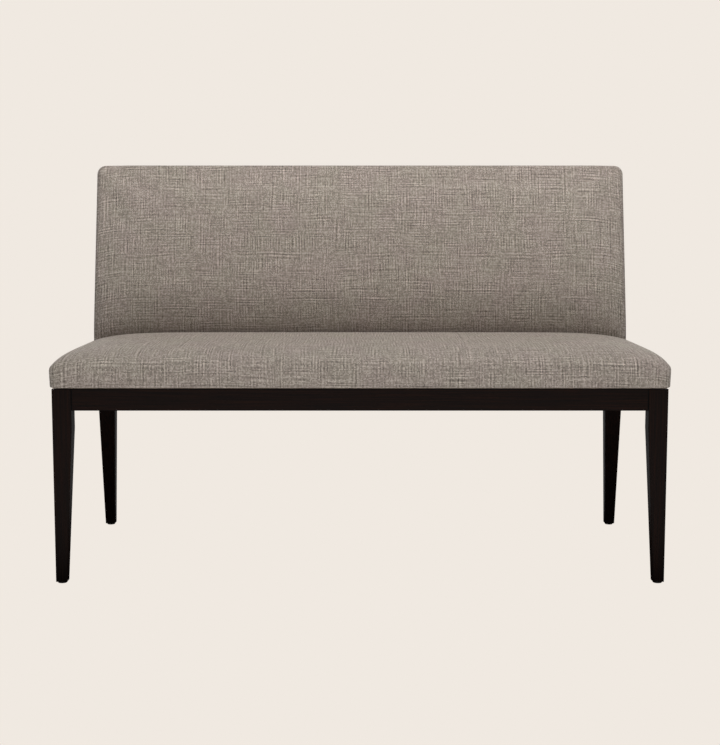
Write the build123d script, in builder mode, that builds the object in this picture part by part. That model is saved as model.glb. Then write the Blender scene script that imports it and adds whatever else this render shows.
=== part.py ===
"""Two-seat upholstered settee: dark tapered legs and aprons, a crowned seat and a leaning back.

Millimetres, +Z up, the front faces -Y. The origin is on the floor under the middle of the settee.
Left and right are as seen from the front, so left is -X.
"""
from build123d import *
import os
from math import cos, radians, sin, tan

os.makedirs("parts", exist_ok=True)

# Overall size
overall_width = 1320.0
overall_depth = 648.0
overall_height = 914.0

# Wooden base: legs, aprons, crossrail and corner blocks
base_height = 420.0
base_side_inset = 8.0
base_front_inset = 6.0
base_rear_inset = 12.0
front_leg_width = 41.0
rear_leg_width = 43.5
leg_depth = 36.0
foot_width = 24.0
foot_depth = 24.0
leg_square_length = 40.0
rear_leg_rake = 11.3
leg_edge_radius = 1.5
apron_height = 46.0
apron_thickness = 24.0
apron_setback = 0.5
apron_edge_radius = 1.5
crossrail_height = 42.0
crossrail_thickness = 24.0
block_reach = 100.0
block_height = 24.0

# Glides under the legs
glide_diameter = 20.0
glide_height = 4.0
glide_edge_radius = 1.6
glide_nail_diameter = 2.4
glide_nail_length = 18.0

# Dowels and screws
hole_clearance = 0.2
dowel_diameter = 8.0
dowel_length = 44.0
dowel_end_clearance = 1.0
screw_diameter = 4.5
screw_head_diameter = 9.0
screw_head_height = 3.0
screw_bite = 16.0
head_bore_diameter = 12.0
block_screw_seat = 18.0
block_screw_offset = 70.0
seat_screw_side_offset = 24.0
seat_screw_end_offset = 48.0
lag_diameter = 7.0
lag_head_diameter = 12.0
lag_head_height = 5.0
lag_bite = 18.0
lag_spacing = 18.0
washer_diameter = 18.0
washer_thickness = 1.6

# Covers, foam and webbing
cover_thickness = 1.5
fit_gap = 0.3
edge_padding = 10.0
flange_width = 40.0
webbing_thickness = 2.0
form_margin = 0.6

# Seat
seat_height = 84.0
seat_crown = 10.0
seat_crown_power = 4
seat_front_face = 36.0
seat_front_round = 34.0
seat_front_round_drop = 11.0
seat_front_radius = 45.0
seat_top_swell = 2.0
seat_foot_tuck = 2.7
seat_side_face = 43.0
seat_side_round = 15.0
seat_side_round_height = 17.0
seat_side_radius = 22.0
seat_shoulder = 70.0
seat_shoulder_radius = 180.0
seat_corner_radius = 18.0
seat_back_gap = 0.5
seat_rail_width = 80.0
seat_rail_thickness = 20.0
seat_strap_width = 60.0
seat_strap_pitch = 100.0

# Back
back_thickness = 60.0
back_lean = 10.9
back_foot_tuck = 0.5
back_top_tuck = 4.0
back_crown = 6.0
back_edge_crown = 1.0
back_crown_power = 4
back_top_front_radius = 16.0
back_top_rear_radius = 10.0
back_corner_radius = 16.0
back_front_edge_radius = 14.0
back_rear_edge_radius = 8.0
back_frame_thickness = 24.0
back_board_thickness = 3.0
back_rail_height = 60.0
back_stile_width = 44.0
post_thickness = 26.0
post_tang_depth = 20.0
post_tang_length = 40.0
post_gusset_rise = 100.0
post_spacing = 330.0
post_count = 4
back_strap_width = 60.0
back_strap_count = 4
rear_panel_border = 12.0

# Where the faces of the base and of the two upholstered forms lie
half_width = overall_width / 2
front_y = -overall_depth / 2
rear_y = overall_depth / 2
lean = radians(back_lean)
leg_outer_x = half_width - base_side_inset
front_leg_inner_x = leg_outer_x - front_leg_width
rear_leg_inner_x = leg_outer_x - rear_leg_width
leg_front_y = front_y + base_front_inset
apron_bottom = base_height - apron_height
apron_outer_x = leg_outer_x - apron_setback
apron_inner_x = apron_outer_x - apron_thickness
front_apron_y = leg_front_y + apron_setback
front_apron_inner_y = front_apron_y + apron_thickness

# The back is a leaning slab. Lengths run up its front face from back_foot_y at the base's top.
back_rise = overall_height - base_height - back_top_front_radius * (1 - sin(lean))
back_length = back_rise / cos(lean) + back_top_front_radius
back_foot_y = (
    rear_y
    - back_top_rear_radius
    - (back_length - back_top_rear_radius) * sin(lean)
    - (back_thickness - back_top_rear_radius) * cos(lean)
)
leg_rear_y = back_foot_y + back_thickness / cos(lean) - base_rear_inset
rear_leg_front_y = leg_rear_y - leg_depth
rear_apron_y = leg_rear_y - apron_setback
rear_apron_inner_y = rear_apron_y - apron_thickness

front_plane = Plane(origin=(0, back_foot_y, base_height), x_dir=(1, 0, 0), z_dir=(0, -cos(lean), sin(lean)))

# Layers of the back, measured in from its front face
board_rear = back_thickness - cover_thickness - fit_gap
frame_rear = board_rear - back_board_thickness
frame_front = frame_rear - back_frame_thickness
back_strap_front = frame_front - webbing_thickness
back_frame_half = half_width - back_top_tuck - edge_padding
back_frame_top = back_length - edge_padding
back_frame_foot = base_height + cover_thickness

# Seat frame, straps and screws
seat_frame_half = half_width - edge_padding
seat_frame_front = front_y + edge_padding
seat_frame_rear = back_foot_y - seat_back_gap - edge_padding
seat_frame_foot = base_height + cover_thickness
seat_frame_top = seat_frame_foot + seat_rail_thickness
seat_strap_top = seat_frame_top + 2 * webbing_thickness
block_foot = base_height - block_height
seat_screw_x = apron_inner_x - seat_screw_side_offset
seat_screw_ys = (front_apron_inner_y + seat_screw_end_offset, rear_apron_inner_y - seat_screw_end_offset)
seat_screw_length = block_height + cover_thickness + screw_bite
post_xs = [post_spacing * (i - (post_count - 1) / 2) for i in range(post_count)]
lag_zs = [base_height - post_tang_length / 2 + s * lag_spacing / 2 for s in (-1, 1)]
post_tang_front = rear_apron_inner_y - post_tang_depth

# Each corner of the base: its name, the side of the middle it is on, and front (-1) or rear (1)
corners = [
    ("front_left", -1, -1),
    ("front_right", 1, -1),
    ("rear_left", -1, 1),
    ("rear_right", 1, 1),
]


def save(piece, name):
    """Label a finished piece and write its STEP file."""
    piece.part.label = name
    export_step(piece.part, f"parts/{name}.step")


def rod(start, direction, diameter, length, mode=Mode.ADD):
    """A round bar from a start point along a direction."""
    with Locations(Plane(origin=start, z_dir=direction)):
        Cylinder(diameter / 2, length, align=(Align.CENTER, Align.CENTER, Align.MIN), mode=mode)


def hole(start, direction, diameter, depth):
    """A drilled hole, a little wider than what it takes."""
    rod(start, direction, diameter + hole_clearance, depth, Mode.SUBTRACT)


def block(x_range, y_range, z_range, mode=Mode.ADD):
    """A square-edged block between pairs of limits."""
    size = [b - a for a, b in (x_range, y_range, z_range)]
    with Locations((x_range[0], y_range[0], z_range[0])):
        Box(*size, align=(Align.MIN, Align.MIN, Align.MIN), mode=mode)


def screw(start, direction, length):
    """A pan-head screw whose head lies behind the start point."""
    rod(start, direction, screw_diameter, length)
    rod(start, tuple(-c for c in direction), screw_head_diameter, screw_head_height)


def dowel_row(row):
    """Height of one of the four dowel rows in an apron's end: even rows run in X, odd rows in Y."""
    return apron_bottom + apron_height * (row + 0.5) / 4


def corner_dowels(side, end):
    """Centres and directions of the four dowels at one corner of the base."""
    across_y = front_apron_y + apron_thickness / 2 if end < 0 else rear_apron_y - apron_thickness / 2
    across_x = side * (front_leg_inner_x if end < 0 else rear_leg_inner_x)
    along_y = leg_front_y + leg_depth if end < 0 else rear_leg_front_y
    along_x = side * (apron_outer_x - apron_thickness / 2)
    across = [((across_x, across_y, dowel_row(row)), (side, 0, 0)) for row in (0, 2)]
    along = [((along_x, along_y, dowel_row(row)), (0, end, 0)) for row in (1, 3)]
    return across + along


def drill_dowels(dowels):
    """Blind holes on both sides of each dowel's middle."""
    depth = dowel_length / 2 + dowel_end_clearance
    for centre, direction in dowels:
        hole(centre, direction, dowel_diameter, depth)
        hole(centre, tuple(-c for c in direction), dowel_diameter, depth)


def corner_block_screws(side, end):
    """Head seats and directions of the two screws through one corner block."""
    inner_y = front_apron_inner_y if end < 0 else rear_apron_inner_y
    z = base_height - block_height / 2
    side_seat = (side * (apron_inner_x - block_screw_seat), inner_y - end * block_screw_offset, z)
    end_seat = (side * (apron_inner_x - block_screw_offset), inner_y - end * block_screw_seat, z)
    return [(side_seat, (side, 0, 0)), (end_seat, (0, end, 0))]


def back_point(up, depth):
    """Y and Z of a point a length up the back's front face and a depth behind that face."""
    y = back_foot_y + up * sin(lean) + depth * cos(lean)
    z = base_height + up * cos(lean) - depth * sin(lean)
    return y, z


def back_point_at(z, depth):
    """Y and Z of the point at height z that is a depth behind the back's front face."""
    return back_foot_y + (z - base_height) * tan(lean) + depth / cos(lean), z


# Legs: square at the aprons, then tapered on their inner faces down to small feet
for name, side, end in corners:
    leg_width = front_leg_width if end < 0 else rear_leg_width
    square_foot = apron_bottom - leg_square_length if end < 0 else apron_bottom
    top_y = leg_front_y if end < 0 else rear_leg_front_y
    rake = 0 if end < 0 else (square_foot - glide_height) * tan(radians(rear_leg_rake))
    foot_centre = (side * (leg_outer_x - foot_width / 2), top_y + rake + foot_depth / 2)
    top_centre = (side * (leg_outer_x - leg_width / 2), top_y + leg_depth / 2)
    with BuildPart() as leg:
        with BuildSketch(Plane.XY.offset(glide_height)):
            with Locations(foot_centre):
                RectangleRounded(foot_width, foot_depth, leg_edge_radius)
        with BuildSketch(Plane.XY.offset(square_foot)) as top_section:
            with Locations(top_centre):
                RectangleRounded(leg_width, leg_depth, leg_edge_radius)
        loft(ruled=True)
        extrude(top_section.sketch, amount=base_height - square_foot)
        drill_dowels(corner_dowels(side, end))
        glide_centre = (*foot_centre, glide_height)
        hole(glide_centre, (0, 0, 1), glide_nail_diameter, glide_nail_length)
    save(leg, f"{name}_leg")

    # Glide: a round slider on a nail driven up into the leg
    with BuildPart() as glide:
        rod((*foot_centre, 0), (0, 0, 1), glide_diameter, glide_height)
        fillet(glide.edges().group_by(Axis.Z)[0], glide_edge_radius)
        rod(glide_centre, (0, 0, 1), glide_nail_diameter, glide_nail_length)
    save(glide, f"{name}_glide")

# Front and rear aprons, between the legs
crossrail_half = crossrail_thickness / 2
crossrail_foot = base_height - crossrail_height
crossrail_dowels = [
    ((0, y, base_height - crossrail_height * share), (0, end, 0))
    for y, end in ((front_apron_inner_y, -1), (rear_apron_inner_y, 1))
    for share in (0.25, 0.75)
]
crossrail_dowel_length = apron_thickness
for name, end, inner_x, y_range in (
    ("front_apron", -1, front_leg_inner_x, (front_apron_y, front_apron_inner_y)),
    ("rear_apron", 1, rear_leg_inner_x, (rear_apron_inner_y, rear_apron_y)),
):
    with BuildPart() as apron:
        block((-inner_x, inner_x), y_range, (apron_bottom, base_height))
        fillet(apron.edges().filter_by(Axis.X).group_by(Axis.Z)[0], apron_edge_radius)
        for side in (-1, 1):
            drill_dowels(corner_dowels(side, end)[:2])
            start, direction = corner_block_screws(side, end)[1]
            hole(start, direction, screw_diameter, block_screw_seat + screw_bite)
        for centre, direction in crossrail_dowels:
            if direction[1] == end:
                depth = crossrail_dowel_length / 2 + dowel_end_clearance
                hole(centre, direction, dowel_diameter, depth)
        if end > 0:
            for x in post_xs:
                for z in lag_zs:
                    hole((x, rear_apron_inner_y, z), (0, 1, 0), lag_diameter, lag_bite)
    save(apron, name)

# Side aprons, between each front leg and its rear leg
for name, side in (("left_apron", -1), ("right_apron", 1)):
    with BuildPart() as apron:
        x_range = sorted((side * apron_outer_x, side * apron_inner_x))
        block(x_range, (leg_front_y + leg_depth, rear_leg_front_y), (apron_bottom, base_height))
        fillet(apron.edges().filter_by(Axis.Y).group_by(Axis.Z)[0], apron_edge_radius)
        for end in (-1, 1):
            drill_dowels(corner_dowels(side, end)[2:])
            start, direction = corner_block_screws(side, end)[0]
            hole(start, direction, screw_diameter, block_screw_seat + screw_bite)
    save(apron, name)

# Dowels that join the aprons to the legs
with BuildPart() as apron_dowels:
    for name, side, end in corners:
        for centre, direction in corner_dowels(side, end):
            start = tuple(c - d * dowel_length / 2 for c, d in zip(centre, direction))
            rod(start, direction, dowel_diameter, dowel_length)
save(apron_dowels, "apron_dowels")

# Crossrail under the middle of the seat, and its dowels into the front and rear aprons
with BuildPart() as crossrail:
    y_range = (front_apron_inner_y, rear_apron_inner_y)
    block((-crossrail_half, crossrail_half), y_range, (crossrail_foot, base_height))
    for centre, direction in crossrail_dowels:
        inward = tuple(-c for c in direction)
        depth = crossrail_dowel_length / 2 + dowel_end_clearance
        hole(centre, inward, dowel_diameter, depth)
save(crossrail, "crossrail")

with BuildPart() as crossrail_pins:
    for centre, direction in crossrail_dowels:
        start = tuple(c - d * crossrail_dowel_length / 2 for c, d in zip(centre, direction))
        rod(start, direction, dowel_diameter, crossrail_dowel_length)
save(crossrail_pins, "crossrail_dowels")

# Corner blocks: three-sided blocks notched round the legs, each screwed to two aprons
notch_y = leg_depth - apron_thickness - apron_setback
for name, side, end in corners:
    notch_x = (front_leg_width if end < 0 else rear_leg_width) - apron_thickness - apron_setback
    inner_y = front_apron_inner_y if end < 0 else rear_apron_inner_y
    outline = [
        (notch_x, 0),
        (block_reach, 0),
        (0, block_reach),
        (0, notch_y),
        (notch_x, notch_y),
    ]
    with BuildPart() as corner_block:
        with BuildSketch(Plane.XY.offset(block_foot)):
            with BuildLine():
                Polyline(*[(side * (apron_inner_x - u), inner_y - end * v) for u, v in outline], close=True)
            make_face()
        extrude(amount=block_height)
        for start, direction in corner_block_screws(side, end):
            outward = tuple(-c for c in direction)
            hole(start, direction, screw_diameter, block_screw_seat)
            rod(start, outward, head_bore_diameter, block_reach, Mode.SUBTRACT)
        seat_screw_y = seat_screw_ys[0] if end < 0 else seat_screw_ys[1]
        hole((side * seat_screw_x, seat_screw_y, block_foot), (0, 0, 1), screw_diameter, block_height)
    save(corner_block, f"{name}_corner_block")

with BuildPart() as block_screws:
    for name, side, end in corners:
        for start, direction in corner_block_screws(side, end):
            screw(start, direction, block_screw_seat + screw_bite)
save(block_screws, "corner_block_screws")

# Screws that hold the seat down, driven up through the corner blocks
seat_screw_seats = [(side * seat_screw_x, y, block_foot) for side in (-1, 1) for y in seat_screw_ys]
with BuildPart() as seat_screws:
    for seat in seat_screw_seats:
        screw(seat, (0, 0, 1), seat_screw_length)
save(seat_screws, "seat_screws")


def drill_seat_screws():
    """Holes for the screws that hold the seat down."""
    for seat in seat_screw_seats:
        hole(seat, (0, 0, 1), screw_diameter, seat_screw_length)


# Seat frame: flat rails lying on the base
rail_inner_x = seat_frame_half - seat_rail_width
front_rail_y = (seat_frame_front, seat_frame_front + seat_rail_width)
rear_rail_y = (seat_frame_rear - seat_rail_width, seat_frame_rear)
middle_y = (front_rail_y[1], rear_rail_y[0])
seat_rails = [
    ("seat_front_rail", (-seat_frame_half, seat_frame_half), front_rail_y),
    ("seat_rear_rail", (-seat_frame_half, seat_frame_half), rear_rail_y),
    ("seat_left_rail", (-seat_frame_half, -rail_inner_x), middle_y),
    ("seat_right_rail", (rail_inner_x, seat_frame_half), middle_y),
    ("seat_middle_rail", (-seat_rail_width / 2, seat_rail_width / 2), middle_y),
]
for name, x_range, y_range in seat_rails:
    with BuildPart() as rail:
        block(x_range, y_range, (seat_frame_foot, seat_frame_top))
        drill_seat_screws()
    save(rail, name)

# Seat webbing: straps front to back on the frame, with straps side to side across them
strap_span_x = 2 * (seat_frame_half - seat_rail_width / 2)
strap_span_y = seat_frame_rear - seat_frame_front - seat_rail_width
strap_mid_y = (seat_frame_front + seat_frame_rear) / 2
with BuildPart() as short_straps:
    count = int(strap_span_x // seat_strap_pitch)
    with Locations((0, strap_mid_y, seat_frame_top)):
        with GridLocations(seat_strap_pitch, 1, count, 1):
            Box(
                seat_strap_width,
                strap_span_y + seat_rail_width / 2,
                webbing_thickness,
                align=(Align.CENTER, Align.CENTER, Align.MIN),
            )
save(short_straps, "seat_webbing_front_to_back")

with BuildPart() as long_straps:
    count = int(strap_span_y // seat_strap_pitch)
    with Locations((0, strap_mid_y, seat_frame_top + webbing_thickness)):
        with GridLocations(1, seat_strap_pitch, 1, count):
            Box(
                strap_span_x + seat_rail_width / 2,
                seat_strap_width,
                webbing_thickness,
                align=(Align.CENTER, Align.CENTER, Align.MIN),
            )
save(long_straps, "seat_webbing_side_to_side")


def seat_form(inset):
    """The crowned seat, drawn in by an inset on every face."""
    half = half_width - inset
    front = front_y + inset
    foot = base_height + inset
    rear = back_foot_y - seat_back_gap - inset / cos(lean)
    tallest = base_height + seat_height + seat_crown
    with BuildPart() as form:
        # Front outline: sides tucked in at the foot, rounded at the top and easing into the crown
        with BuildSketch(Plane.XZ.offset(-rear_y)):
            with BuildLine():
                side_low = (half - seat_foot_tuck, foot)
                side_high = (half, base_height + seat_side_face)
                corner = (half - seat_side_round + inset, side_high[1] + seat_side_round_height - inset)
                shoulder = (half - seat_shoulder, base_height + seat_height - inset)
                Line((0, foot), side_low)
                Line(side_low, side_high)
                RadiusArc(side_high, corner, -(seat_side_radius - inset))
                RadiusArc(corner, shoulder, -seat_shoulder_radius)
                Polyline(shoulder, (shoulder[0], tallest), (0, tallest), (0, foot))
            make_face()
            mirror(about=Plane.YZ)
        extrude(amount=2 * overall_depth)
        # Plan outline: the two front corners turn on a radius
        with BuildSketch(Plane.XY.offset(base_height - form_margin)) as plan:
            with Locations((0, front - form_margin)):
                Rectangle(2 * (half + form_margin), 2 * overall_depth, align=(Align.CENTER, Align.MIN))
            fillet(plan.vertices().group_by(Axis.Y)[0], seat_corner_radius - inset + form_margin)
        extrude(amount=tallest, mode=Mode.INTERSECT)
        # Side profiles lofted across the width: flat front, rounded front edge, swelling top
        for share in (-1, -0.8, -0.4, 0, 0.4, 0.8, 1):
            top = base_height + seat_height - inset - seat_crown * abs(share) ** seat_crown_power
            with BuildSketch(Plane.YZ.offset(share * (half + form_margin))):
                with BuildLine():
                    front_low = (front, foot - form_margin)
                    front_high = (front, base_height + seat_front_face)
                    brow = (front + seat_front_round - inset, top - seat_front_round_drop)
                    rear_low = (rear + (foot - form_margin - base_height) * tan(lean), foot - form_margin)
                    rear_high = (rear + (top - base_height) * tan(lean), top)
                    middle = ((brow[0] + rear_high[0]) / 2, top + seat_top_swell)
                    Line(front_low, rear_low)
                    Line(rear_low, rear_high)
                    ThreePointArc(rear_high, middle, brow)
                    RadiusArc(brow, front_high, -(seat_front_radius - inset))
                    Line(front_high, front_low)
                make_face()
        loft(mode=Mode.INTERSECT)
    return form.part


# Seat cover: fabric pulled over the foam and turned under the frame
seat_outside = seat_form(0)
seat_inside = seat_form(cover_thickness)
flange_x = seat_frame_half - flange_width
flange_y = (seat_frame_front + flange_width, seat_frame_rear - flange_width)
with BuildPart() as seat_cover:
    add(seat_outside)
    add(seat_inside, mode=Mode.SUBTRACT)
    block((-flange_x, flange_x), flange_y, (base_height, seat_frame_foot), Mode.SUBTRACT)
    drill_seat_screws()
save(seat_cover, "seat_cover")

# Seat foam: fills the cover down round the edges of the frame
seat_filling = seat_form(cover_thickness + fit_gap)
with BuildPart() as seat_foam:
    add(seat_filling)
    block(
        (-seat_frame_half, seat_frame_half),
        (seat_frame_front, seat_frame_rear),
        (base_height, seat_strap_top),
        Mode.SUBTRACT,
    )
save(seat_foam, "seat_foam")

# Dust cover: thin black cloth closing the underside inside the turned-under cover
with BuildPart() as dust_cover:
    block(
        (-flange_x + fit_gap, flange_x - fit_gap),
        (flange_y[0] + fit_gap, flange_y[1] - fit_gap),
        (base_height, seat_frame_foot),
    )
    drill_seat_screws()
save(dust_cover, "dust_cover")


def back_form(inset):
    """The leaning crowned back, drawn in by an inset on every face."""
    half = half_width - back_foot_tuck - inset
    top_half = half_width - back_top_tuck - inset
    top = back_length - inset
    rear = back_thickness - inset
    foot = base_height + inset
    below = -back_thickness
    front_radius = back_top_front_radius - inset
    rear_radius = back_top_rear_radius - inset
    straight = seat_height + seat_crown
    plan_plane = Plane(front_plane.origin, x_dir=(1, 0, 0), z_dir=front_plane.y_dir)
    with BuildPart() as form:
        # Front outline: sides lean in a little to rounded top corners
        with BuildSketch(front_plane.offset(2 * back_crown)) as outline:
            with BuildLine():
                side_low = half - (half - top_half) * below / back_length
                high = top + form_margin
                foot_ends = [(-side_low, below), (side_low, below)]
                Polyline(*foot_ends, (top_half, high), (-top_half, high), close=True)
            make_face()
            fillet(outline.vertices().group_by(Axis.Y)[-1], back_corner_radius - inset + form_margin)
        extrude(amount=-2 * (back_thickness + back_crown))
        # Plan outline: the upright edges are rounded
        with BuildSketch(plan_plane.offset(below - form_margin)):
            with BuildLine():
                side = half + form_margin
                nape = back_rear_edge_radius - inset + form_margin
                brow = back_front_edge_radius - inset + form_margin
                face = inset - back_edge_crown - form_margin
                ahead = -2 * back_crown
                Line((0, ahead), (side - brow, ahead))
                Line((side - brow, ahead), (side - brow, face))
                RadiusArc((side - brow, face), (side, face + brow), -brow)
                Line((side, face + brow), (side, rear + form_margin - nape))
                RadiusArc((side, rear + form_margin - nape), (side - nape, rear + form_margin), -nape)
                Line((side - nape, rear + form_margin), (0, rear + form_margin))
                Line((0, rear + form_margin), (0, ahead))
            make_face()
            mirror(about=Plane.YZ)
        extrude(amount=overall_height, mode=Mode.INTERSECT)
        # Side profiles lofted across the width: straight behind the seat, then swelling forward
        for share in (-1, -0.85, -0.5, 0, 0.5, 0.85, 1):
            crown = back_edge_crown + (back_crown - back_edge_crown) * (1 - abs(share) ** back_crown_power)
            with BuildSketch(Plane.YZ.offset(share * (half + form_margin))):
                with BuildLine():
                    foot_front = back_point_at(foot, inset)
                    foot_rear = back_point_at(foot, rear)
                    rear_high = back_point(top - rear_radius, rear)
                    top_rear = back_point(top, rear - rear_radius)
                    top_front = back_point(top, inset + front_radius)
                    front_high = back_point(top - front_radius, inset)
                    front_low = back_point(straight, inset)
                    swell = back_point((straight + top - front_radius) / 2, inset - crown)
                    Line(foot_front, foot_rear)
                    Line(foot_rear, rear_high)
                    RadiusArc(rear_high, top_rear, -rear_radius)
                    Line(top_rear, top_front)
                    RadiusArc(top_front, front_high, -front_radius)
                    ThreePointArc(front_high, swell, front_low)
                    Line(front_low, foot_front)
                make_face()
        loft(mode=Mode.INTERSECT)
    return form.part


def back_bar(x_range, outline):
    """A bar of the back's frame: a side outline of Y and Z points, extruded between two X limits."""
    with BuildSketch(Plane.YZ.offset(x_range[0])) as side_view:
        with BuildLine():
            Polyline(*outline, close=True)
        make_face()
    extrude(side_view.sketch, amount=x_range[1] - x_range[0])


def back_plate(half, low, high, near, far, mode=Mode.ADD):
    """A plate parallel to the back's front face, between two lengths up it and two depths."""
    with BuildSketch(front_plane.offset(-near)) as front_view:
        with Locations((0, (low + high) / 2)):
            Rectangle(2 * half, high - low)
    extrude(front_view.sketch, amount=near - far, mode=mode)


def back_up(z, depth):
    """The length up the back's front face of the point at height z and a depth behind that face."""
    return (z - base_height + depth * sin(lean)) / cos(lean)


# Back posts: bent plates lagged to the rear apron that carry the back's frame
back_rail_foot = back_frame_top - back_rail_height
post_names = [f"back_post_{i + 1}" for i in range(post_count)]
gusset_top = back_frame_foot + post_gusset_rise
post_outline = [
    (post_tang_front, base_height - post_tang_length),
    (rear_apron_inner_y, base_height - post_tang_length),
    (rear_apron_inner_y, back_frame_foot),
    back_point_at(back_frame_foot, frame_rear),
    back_point(back_rail_foot, frame_rear),
    back_point(back_rail_foot, frame_front),
    back_point_at(gusset_top, frame_front),
    (post_tang_front, back_frame_foot),
]
frame_middle = (frame_front + frame_rear) / 2
stile_x = back_frame_half - back_stile_width / 2
rail_screw_xs = [-stile_x, *post_xs, stile_x]
rail_screw_top = back_frame_top - screw_head_height
rail_screw_length = back_rail_height - screw_head_height + screw_bite
up_direction = (0, sin(lean), cos(lean))
down_direction = (0, -sin(lean), -cos(lean))


def rail_screw_seats():
    """Where the heads of the top rail's screws bear."""
    return [(x, *back_point(rail_screw_top, frame_middle)) for x in rail_screw_xs]


posts = []
for name, x in zip(post_names, post_xs):
    with BuildPart() as post:
        back_bar((x - post_thickness / 2, x + post_thickness / 2), post_outline)
        for z in lag_zs:
            hole((x, post_tang_front, z), (0, 1, 0), lag_diameter, post_tang_depth)
        for seat in rail_screw_seats():
            hole(seat, down_direction, screw_diameter, rail_screw_length)
    save(post, name)
    posts.append(post.part)

# Lag screws and washers that hold the posts to the rear apron
with BuildPart() as lag_screws:
    for x in post_xs:
        for z in lag_zs:
            head = (x, post_tang_front - washer_thickness, z)
            rod(head, (0, 1, 0), lag_diameter, washer_thickness + post_tang_depth + lag_bite)
            rod(head, (0, -1, 0), lag_head_diameter, lag_head_height)
save(lag_screws, "post_lag_screws")

with BuildPart() as washers:
    for x in post_xs:
        for z in lag_zs:
            rod((x, post_tang_front, z), (0, -1, 0), washer_diameter, washer_thickness)
            hole((x, post_tang_front, z), (0, -1, 0), lag_diameter, washer_thickness)
save(washers, "post_washers")

# Frame of the back: end stiles, a top rail over the posts, and short bottom rails between them
stile_outline = [
    back_point_at(back_frame_foot, frame_front),
    back_point_at(back_frame_foot, frame_rear),
    back_point(back_rail_foot, frame_rear),
    back_point(back_rail_foot, frame_front),
]
for name, side in (("back_left_stile", -1), ("back_right_stile", 1)):
    with BuildPart() as stile:
        inner = side * (back_frame_half - back_stile_width)
        back_bar(sorted((inner, side * back_frame_half)), stile_outline)
        for seat in rail_screw_seats():
            hole(seat, down_direction, screw_diameter, rail_screw_length)
    save(stile, name)

with BuildPart() as top_rail:
    back_plate(back_frame_half, back_rail_foot, back_frame_top, frame_front, frame_rear)
    for seat in rail_screw_seats():
        hole(seat, down_direction, screw_diameter, rail_screw_length)
        hole(seat, up_direction, screw_head_diameter, screw_head_height)
save(top_rail, "back_top_rail")

with BuildPart() as rail_screws:
    for seat in rail_screw_seats():
        screw(seat, down_direction, rail_screw_length)
save(rail_screws, "back_frame_screws")

bottom_rail_top = back_up(back_frame_foot, frame_front) + back_rail_height
bottom_rail_outline = [
    back_point_at(back_frame_foot, frame_front),
    back_point_at(back_frame_foot, frame_rear),
    back_point(bottom_rail_top, frame_rear),
    back_point(bottom_rail_top, frame_front),
]
post_faces = [face for x in post_xs for face in (x - post_thickness / 2, x + post_thickness / 2)]
stile_inner_x = back_frame_half - back_stile_width
rail_ends = [-stile_inner_x, *post_faces, stile_inner_x]
with BuildPart() as bottom_rails:
    for start, stop in zip(rail_ends[::2], rail_ends[1::2]):
        back_bar((start, stop), bottom_rail_outline)
save(bottom_rails, "back_bottom_rails")

# Back webbing: straps across the front of the frame, above the posts' gussets
strap_low = back_up(gusset_top, frame_front) + back_strap_width / 2
strap_high = back_frame_top - back_strap_width / 2
with BuildPart() as back_straps:
    for i in range(back_strap_count):
        middle = strap_low + (strap_high - strap_low) * i / (back_strap_count - 1)
        low = middle - back_strap_width / 2
        back_plate(back_frame_half, low, low + back_strap_width, back_strap_front, frame_front)
save(back_straps, "back_webbing")

# Back board: a thin panel on the rear of the frame, under the rear cover
board_foot = back_up(back_frame_foot, board_rear)
with BuildPart() as back_board:
    back_plate(back_frame_half, board_foot, back_frame_top, frame_rear, board_rear)
save(back_board, "back_board")

# Back foam: in front of the webbing and round the edges of the frame
back_filling = back_form(cover_thickness + fit_gap)
with BuildPart() as back_foam:
    add(back_filling)
    low, far = -back_thickness, 2 * back_thickness
    back_plate(back_frame_half, low, back_frame_top, back_strap_front, far, Mode.SUBTRACT)
    for post in posts:
        add(post, mode=Mode.SUBTRACT)
save(back_foam, "back_foam")

# Back cover: fabric over the front, sides, top and foot, turned onto the edges of the rear face
back_outside = back_form(0)
back_inside = back_form(cover_thickness)
panel_half = half_width - back_top_tuck - rear_panel_border
panel_foot = back_up(base_height + rear_panel_border, back_thickness)
panel_top = back_length - rear_panel_border
panel_front = back_thickness - cover_thickness
with BuildPart() as back_cover:
    add(back_outside)
    add(back_inside, mode=Mode.SUBTRACT)
    back_plate(panel_half, panel_foot, panel_top, panel_front, back_thickness, Mode.SUBTRACT)
    for x in post_xs:
        x_range = (x - post_thickness / 2, x + post_thickness / 2)
        block(x_range, (post_tang_front, rear_apron_inner_y), (base_height, back_frame_foot), Mode.SUBTRACT)
save(back_cover, "back_cover")

# Rear cover: the outside back panel, set into the turned edges
with BuildPart() as rear_cover:
    back_plate(
        panel_half - fit_gap, panel_foot + fit_gap, panel_top - fit_gap, panel_front, back_thickness
    )
save(rear_cover, "back_rear_cover")
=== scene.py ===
from math import atan2, cos, exp, pi, radians, sin, sqrt, tan, tanh

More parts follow.
